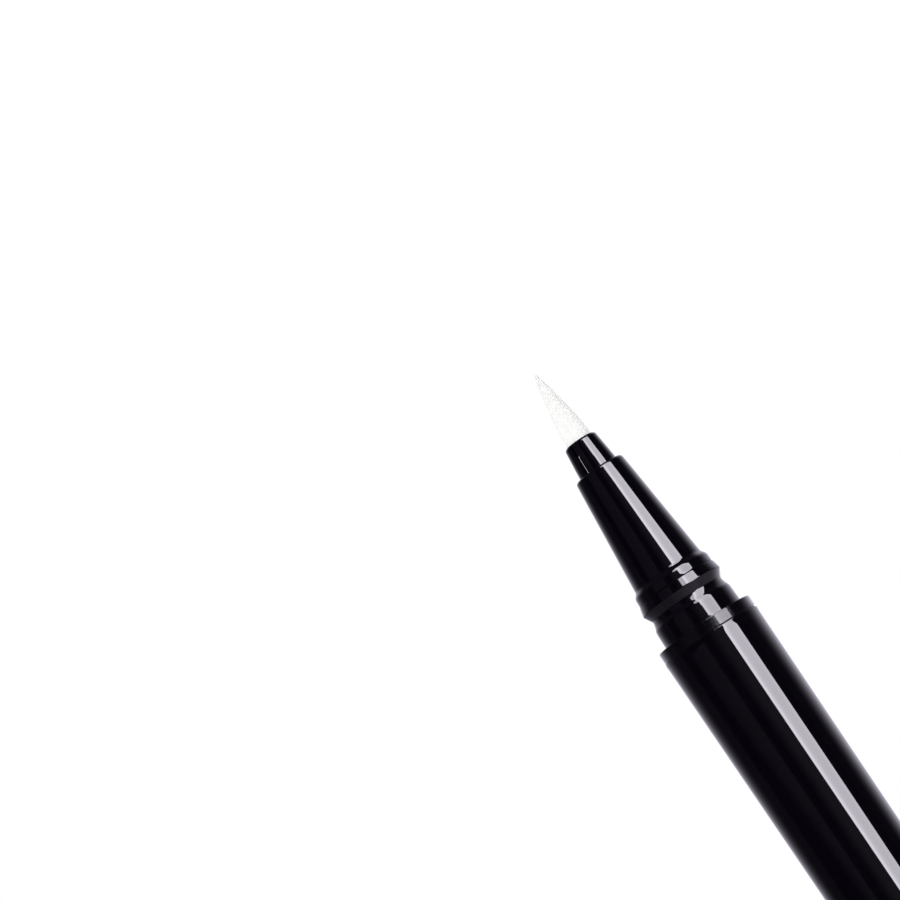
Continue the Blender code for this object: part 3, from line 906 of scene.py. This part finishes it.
@dataclass(frozen=True)
class Feed:
    """The pieces inside the pen, which keep their CAD shapes and get their finishes."""

    finishes: tuple[tuple[str, Finish], ...] = (
        ("brush_retainer", NATURAL_PLASTIC),
        ("feed_wick", WICK_FIBRE),
        ("ink_collector", NATURAL_PLASTIC),
        ("collector_seal", SEAL_RUBBER),
        ("tank_stopper", NATURAL_PLASTIC),
        ("ink_tank", NATURAL_PLASTIC),
        ("mixing_ball", STEEL),
    )

    def build(self) -> None:
        """Give each inner piece its finish."""
        for node, finish in self.finishes:
            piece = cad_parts[node]
            piece.data.materials.clear()
            piece.data.materials.append(finish.material())
            log.info("%s: %s", node, finish.name)


@dataclass(frozen=True)
class SoftboxSection:
    """The softbox's left and right edges and its gain at an elevation, as seen from the pen."""

    elevation: float
    left: float
    right: float
    gain: float = 1.0


@dataclass(frozen=True)
class Reflections:
    """What glossy surfaces see of the studio, by direction from the pen.

    Azimuths count from -Y, where the photograph is taken from, and grow towards +X. The light
    that falls on rough surfaces, the fill, is soft and weaker from the right. The horizon gives
    the elevation of the table's far edge by azimuth, and panel_foot that of the dark panel's
    foot at azimuth 0, with its slope.
    """

    softbox: tuple[SoftboxSection, ...] = (
        SoftboxSection(-15, 41, 42),
        SoftboxSection(-10, 38, 48),
        SoftboxSection(-5, 34, 54),
        SoftboxSection(0, 31, 60),
        SoftboxSection(2, 30, 62.9),
        SoftboxSection(4.6, 30, 63.2),
        SoftboxSection(6, 26, 63.4, 0.93),
        SoftboxSection(8, 23, 63.6, 0.9),
        SoftboxSection(12, 23.2, 63.5, 0.96),
        SoftboxSection(15.5, 23.5, 63.4, 1.06),
        SoftboxSection(18, 21.5, 63.2, 1.04),
        SoftboxSection(23, 16.5, 63),
        SoftboxSection(26, 14, 62.8),
        SoftboxSection(30, 11.6, 62.2, 1.02),
        SoftboxSection(36, 11.2, 61.5),
        SoftboxSection(43, 12.3, 61.5, 0.97),
        SoftboxSection(49.5, 17, 61, 0.92),
        SoftboxSection(52, 21, 60.5, 0.9),
        SoftboxSection(55.5, 26, 58, 0.9),
        SoftboxSection(57.5, 34, 48, 0.9),
    )
    softbox_levels: tuple[tuple[float, float], ...] = (
        (0.0, 9.5), (0.02, 16.5), (0.14, 16.5), (0.22, 13.5), (0.36, 11.8), (0.6, 11.2),
        (0.85, 11.6), (1.0, 13.0),
    )
    softbox_core: tuple[float, float] = (24.0, 63.0)
    softbox_colour: Colour = (1.0, 0.965, 1.065)
    full_gain: float = 2.0
    feather: float = 1.0
    room_levels: tuple[tuple[float, float], ...] = (
        (-180, 1.0), (-166, 1.0), (-152, 0.80), (-144, 0.66), (-136, 0.50), (-128, 0.315),
        (-120, 0.17), (-112, 0.07), (-104, 0.043), (-86, 0.05), (-80, 0.008), (-63, 0.008),
        (-58, 0.07), (-22, 0.10), (-19, 0.02), (-5, 0.01), (4, 0.07), (16, 0.155), (25, 0.16),
        (64, 0.04), (78, 0.017), (85, 0.03), (102, 0.033), (112, 0.165), (120, 0.41), (128, 0.70),
        (136, 0.91), (145, 1.15), (160, 1.05), (180, 1.0),
    )
    room_colour: Colour = (1.0, 0.95, 1.12)
    table_levels: tuple[tuple[float, float], ...] = (
        (-180, 0.45), (-172, 0.30), (-160, 0.36), (-150, 0.36), (-141, 0.28), (-134, 0.21),
        (-125, 0.18), (-99, 0.155), (-83, 0.175), (-67, 0.16), (-50, 0.165), (-40, 0.19),
        (-30, 0.25), (-10, 0.30), (10, 0.42), (20, 0.51), (30, 0.54), (40, 0.56), (49, 0.61),
        (58, 0.60), (67, 0.51), (80, 0.43), (91, 0.42), (112, 0.39), (120, 0.46), (127, 0.58),
        (134, 0.78), (144, 0.98), (154, 0.95), (164, 0.80), (180, 0.6),
    )
    horizon: tuple[tuple[float, float], ...] = (
        (-180, 0), (-150, -1), (-120, -3), (-85, -11), (-41, -15), (0, -18), (41, -18), (85, -11),
        (120, -3), (150, -1), (180, 0),
    )
    horizon_softness: float = 3.5
    rear_strip: tuple[float, float] = (162.0, 177.0)
    rear_strip_reach: tuple[float, float] = (-70.0, -4.0)
    rear_strip_level: float = 8.0
    panel: tuple[float, float] = (-74.0, 2.0)
    panel_foot: tuple[float, float] = (-3.2, -0.11)
    panel_softness: float = 1.5
    below_panel: float = 0.012
    ceiling_level: float = 0.06
    ceiling_edge: tuple[float, float] = (28.0, 45.0)
    backdrop_level: float = 1.0
    fill_levels: tuple[tuple[float, float], ...] = (
        (-180, 0.95), (-90, 0.95), (-40, 0.98), (30, 0.98), (75, 0.59), (140, 0.59), (180, 0.95),
    )
    fill_heights: tuple[tuple[float, float], ...] = (
        (-90, 0.2), (-8, 0.2), (0, 2.33), (14, 2.33), (28, 0.72), (90, 0.56),
    )

    def directions(self, graph: NodeGraph) -> tuple[bpy.types.NodeSocket, bpy.types.NodeSocket]:
        """Read the direction that a ray leaves in.

        Args:
            graph: The world's nodes.

        Returns:
            Its azimuth and its elevation.
        """
        ray = graph.add("ShaderNodeTexCoord").outputs["Generated"]
        parts = graph.add("ShaderNodeSeparateXYZ")
        graph.join(ray, parts.inputs[0])
        x, y, z = parts.outputs
        azimuth = graph.calculate("ARCTAN2", x, graph.calculate("MULTIPLY", y, -1.0))
        elevation = graph.calculate("ARCSINE", z)
        degrees = math.degrees(1)
        return (graph.calculate("MULTIPLY", azimuth, degrees),
                graph.calculate("MULTIPLY", elevation, degrees))

    @staticmethod
    def look_up(graph: NodeGraph, angle: bpy.types.NodeSocket,
                levels: tuple[tuple[float, float], ...]) -> bpy.types.NodeSocket:
        """Look a level up by azimuth or by elevation.

        Args:
            graph: The world's nodes.
            angle: The ray's azimuth or elevation.
            levels: The angles and their levels, all of one sign.

        Returns:
            The level's socket.
        """
        largest = max((level for _, level in levels), key=abs)
        turn = graph.calculate("DIVIDE", graph.calculate("ADD", angle, HALF_TURN), FULL_TURN)
        stops = [((place + HALF_TURN) / FULL_TURN, (level / largest,) * 3)
                 for place, level in levels]
        return graph.calculate("MULTIPLY", graph.ramp(turn, stops), largest)

    @staticmethod
    def window(graph: NodeGraph, value: bpy.types.NodeSocket, low: object, high: object,
               feather: float) -> bpy.types.NodeSocket:
        """Tell where a value lies between two limits, with soft edges inside them.

        Args:
            graph: The world's nodes.
            value: The value.
            low: The lower limit or its socket.
            high: The upper limit or its socket.
            feather: The width of the soft edges.

        Returns:
            1 between the limits and 0 outside them.
        """
        above = graph.between(graph.calculate("SUBTRACT", value, low), 0.0, feather)
        below = graph.between(graph.calculate("SUBTRACT", high, value), 0.0, feather)
        return graph.calculate("MULTIPLY", above, below)

    def softbox_light(self, graph: NodeGraph, azimuth: bpy.types.NodeSocket,
                      elevation: bpy.types.NodeSocket) -> tuple[bpy.types.NodeSocket, ...]:
        """Draw the softbox.

        Args:
            graph: The world's nodes.
            azimuth: The ray's azimuth.
            elevation: The ray's elevation.

        Returns:
            Where the softbox is, from 0 to 1, and its level there.
        """
        lifted = graph.calculate("ADD", elevation, QUARTER_TURN)
        height = graph.calculate("DIVIDE", lifted, HALF_TURN)
        stops = [((one.elevation + QUARTER_TURN) / HALF_TURN,
                  (one.left / QUARTER_TURN, one.right / QUARTER_TURN, one.gain / self.full_gain))
                 for one in self.softbox]
        edges = graph.add("ShaderNodeSeparateXYZ")
        graph.join(graph.ramp(height, stops), edges.inputs[0])
        left = graph.calculate("MULTIPLY", edges.outputs[0], QUARTER_TURN)
        right = graph.calculate("MULTIPLY", edges.outputs[1], QUARTER_TURN)
        across = self.window(graph, azimuth, left, right, self.feather)
        upright = self.window(graph, elevation, self.softbox[0].elevation,
                              self.softbox[-1].elevation, self.feather)
        inside = graph.calculate("MULTIPLY", across, upright)
        start, end = self.softbox_core
        start = graph.calculate("MAXIMUM", left, start)
        share = graph.calculate("DIVIDE", graph.calculate("SUBTRACT", azimuth, start),
                                graph.calculate("SUBTRACT", end, start))
        largest = max(level for _, level in self.softbox_levels)
        level = graph.ramp(share, [(place, (value / largest,) * 3)
                                   for place, value in self.softbox_levels])
        gain = graph.calculate("MULTIPLY", edges.outputs[2], self.full_gain * largest)
        return inside, graph.calculate("MULTIPLY", level, gain)

    def room_light(self, graph: NodeGraph, azimuth: bpy.types.NodeSocket,
                   elevation: bpy.types.NodeSocket) -> bpy.types.NodeSocket:
        """Draw the room round the pen, its table, its ceiling light and its rear strip.

        Args:
            graph: The world's nodes.
            azimuth: The ray's azimuth.
            elevation: The ray's elevation.

        Returns:
            The room's level.
        """
        room = self.look_up(graph, azimuth, self.room_levels)
        foot, slant = self.panel_foot
        foot = graph.calculate("MULTIPLY_ADD", azimuth, slant, foot)
        above = graph.calculate("SUBTRACT", elevation, foot)
        shade = graph.calculate(
            "MULTIPLY",
            self.window(graph, azimuth, *self.panel, self.feather),
            graph.between(above, -self.panel_softness, self.panel_softness, 1.0, 0.0),
        )
        room = graph.mix(shade, room, self.below_panel, MixKind.LEVEL)
        table = self.look_up(graph, azimuth, self.table_levels)
        edge = self.look_up(graph, azimuth, self.horizon)
        height = graph.calculate("SUBTRACT", elevation, edge)
        softness = self.horizon_softness
        above_table = graph.between(height, -softness, softness)
        light = graph.mix(above_table, table, room, MixKind.LEVEL)
        ceiling = graph.between(elevation, *self.ceiling_edge)
        light = graph.mix(ceiling, light, self.ceiling_level, MixKind.LEVEL)
        strip = graph.calculate(
            "MULTIPLY",
            self.window(graph, azimuth, *self.rear_strip, self.feather),
            self.window(graph, elevation, *self.rear_strip_reach, self.feather),
        )
        return graph.mix(strip, light, self.rear_strip_level, MixKind.LEVEL)

    def build(self) -> None:
        """Set the world up."""
        world = bpy.data.worlds.new("studio")
        bpy.context.scene.world = world
        world.use_nodes = True
        graph = NodeGraph(world.node_tree)
        azimuth, elevation = self.directions(graph)
        inside, strength = self.softbox_light(graph, azimuth, elevation)
        softbox = graph.tint(strength, self.softbox_colour)
        room = graph.tint(self.room_light(graph, azimuth, elevation), self.room_colour)
        seen = graph.mix(inside, room, softbox)
        rays = graph.add("ShaderNodeLightPath").outputs
        fill = graph.calculate(
            "MULTIPLY",
            self.look_up(graph, azimuth, self.fill_levels),
            self.look_up(graph, elevation, self.fill_heights),
        )
        light = graph.mix(rays["Is Glossy Ray"], fill, seen)
        open_view = graph.calculate("MAXIMUM", rays["Is Camera Ray"], rays["Is Transmission Ray"])
        light = graph.mix(open_view, light, (self.backdrop_level,) * 3 + (1.0,))
        background = graph.add("ShaderNodeBackground")
        graph.join(light, background.inputs["Color"])
        output = graph.add("ShaderNodeOutputWorld")
        graph.join(background.outputs[0], output.inputs["Surface"])


@dataclass(frozen=True)
class Floor:
    """The pale floor, which keeps the pen's soft shadow and fades into the backdrop."""

    radius: float = 3.0
    sides: int = 96
    colour: Colour = (0.86, 0.86, 0.86)
    second_colour: Colour = (0.84, 0.84, 0.84)
    grain: float = 0.01
    fade: tuple[float, float] = (0.12, 0.6)
    drop: float = 0.00002

    def build(self) -> None:
        """Lay the floor."""
        shape = bmesh.new()
        bmesh.ops.create_circle(shape, cap_ends=True, segments=self.sides, radius=self.radius)
        bmesh.ops.translate(shape, verts=shape.verts, vec=(0, 0, -self.drop))
        mesh = bpy.data.meshes.new("floor")
        shape.to_mesh(mesh)
        shape.free()
        floor = bpy.data.objects.new("floor", mesh)
        bpy.context.scene.collection.objects.link(floor)
        mesh.materials.append(self.material())
        floor.visible_glossy = False

    def material(self) -> bpy.types.Material:
        """Make the floor's material.

        Returns:
            The material.
        """
        material = bpy.data.materials.new("pale_floor")
        material.use_nodes = True
        graph = NodeGraph(material.node_tree)
        place = graph.add("ShaderNodeTexCoord").outputs["Object"]
        cloud = graph.noise(place, self.grain, PLAIN_DETAIL)
        colour = graph.mix(cloud, (*self.colour, 1.0), (*self.second_colour, 1.0))
        paper = graph.add("ShaderNodeBsdfDiffuse")
        graph.feed(paper, Color=colour)
        distance = graph.add("ShaderNodeVectorMath", operation="LENGTH")
        graph.join(place, distance.inputs[0])
        seen = graph.add("ShaderNodeLightPath").outputs["Is Camera Ray"]
        far = graph.between(distance.outputs["Value"], *self.fade)
        share = graph.calculate("MULTIPLY", far, seen)
        glow = graph.add("ShaderNodeEmission")
        graph.feed(glow, Color=(1.0, 1.0, 1.0, 1.0), Strength=1.0)
        both = graph.add("ShaderNodeMixShader")
        graph.join(share, both.inputs[0])
        graph.join(paper.outputs[0], both.inputs[1])
        graph.join(glow.outputs[0], both.inputs[2])
        output = graph.add("ShaderNodeOutputMaterial")
        graph.join(both.outputs[0], output.inputs["Surface"])
        return material


@dataclass(frozen=True)
class KeyLamp:
    """A soft lamp on the left that leaves the brush's right side a little darker."""

    place: tuple[float, float, float] = (-0.5, -1.1, 0.8)
    target: tuple[float, float, float] = (0.0, 0.0, 0.1)
    size: float = 0.9
    power: float = 1.2

    def build(self) -> None:
        """Hang the lamp."""
        data = bpy.data.lights.new("key_lamp", "AREA")
        data.size = self.size
        data.energy = self.power
        lamp = bpy.data.objects.new("key_lamp", data)
        bpy.context.scene.collection.objects.link(lamp)
        lamp.location = self.place
        aim = Vector(self.target) - Vector(self.place)
        lamp.rotation_mode = "QUATERNION"
        lamp.rotation_quaternion = aim.to_track_quat("-Z", "Y")
        lamp.visible_camera = False
        lamp.visible_glossy = False


@dataclass(frozen=True)
class PhotoCamera:
    """The camera that took the photograph."""

    place: tuple[float, float, float] = (0.0, -0.595, 0.047)
    target: tuple[float, float, float] = (-0.011289, 0.0, 0.122062)
    roll: float = 33.884
    lens: float = 238.69
    sensor: float = 36.0
    clip: tuple[float, float] = (0.01, 100.0)

    def build(self) -> None:
        """Set the camera up."""
        data = bpy.data.cameras.new("photo_camera")
        data.lens = self.lens
        data.sensor_width = self.sensor
        data.clip_start, data.clip_end = self.clip
        camera = bpy.data.objects.new("photo_camera", data)
        bpy.context.scene.collection.objects.link(camera)
        camera.location = self.place
        aim = Vector(self.target) - Vector(self.place)
        upright = aim.to_track_quat("-Z", "Y")
        camera.rotation_mode = "QUATERNION"
        camera.rotation_quaternion = upright @ Quaternion((0, 0, 1), -math.radians(self.roll))
        bpy.context.scene.camera = camera


def main() -> None:
    """Dress the pen and set its studio up."""
    logging.basicConfig(level=logging.INFO, format="%(message)s")
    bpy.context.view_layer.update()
    bpy.context.scene.view_settings.view_transform = "Standard"
    for part in (Casing(), Neck(), Nose(), Brush(), Feed()):
        part.build()
    for stage in (PhotoCamera(), Reflections(), Floor(), KeyLamp()):
        stage.build()
        log.info("%s is set", type(stage).__name__)


if __name__ == "__main__":
    main()
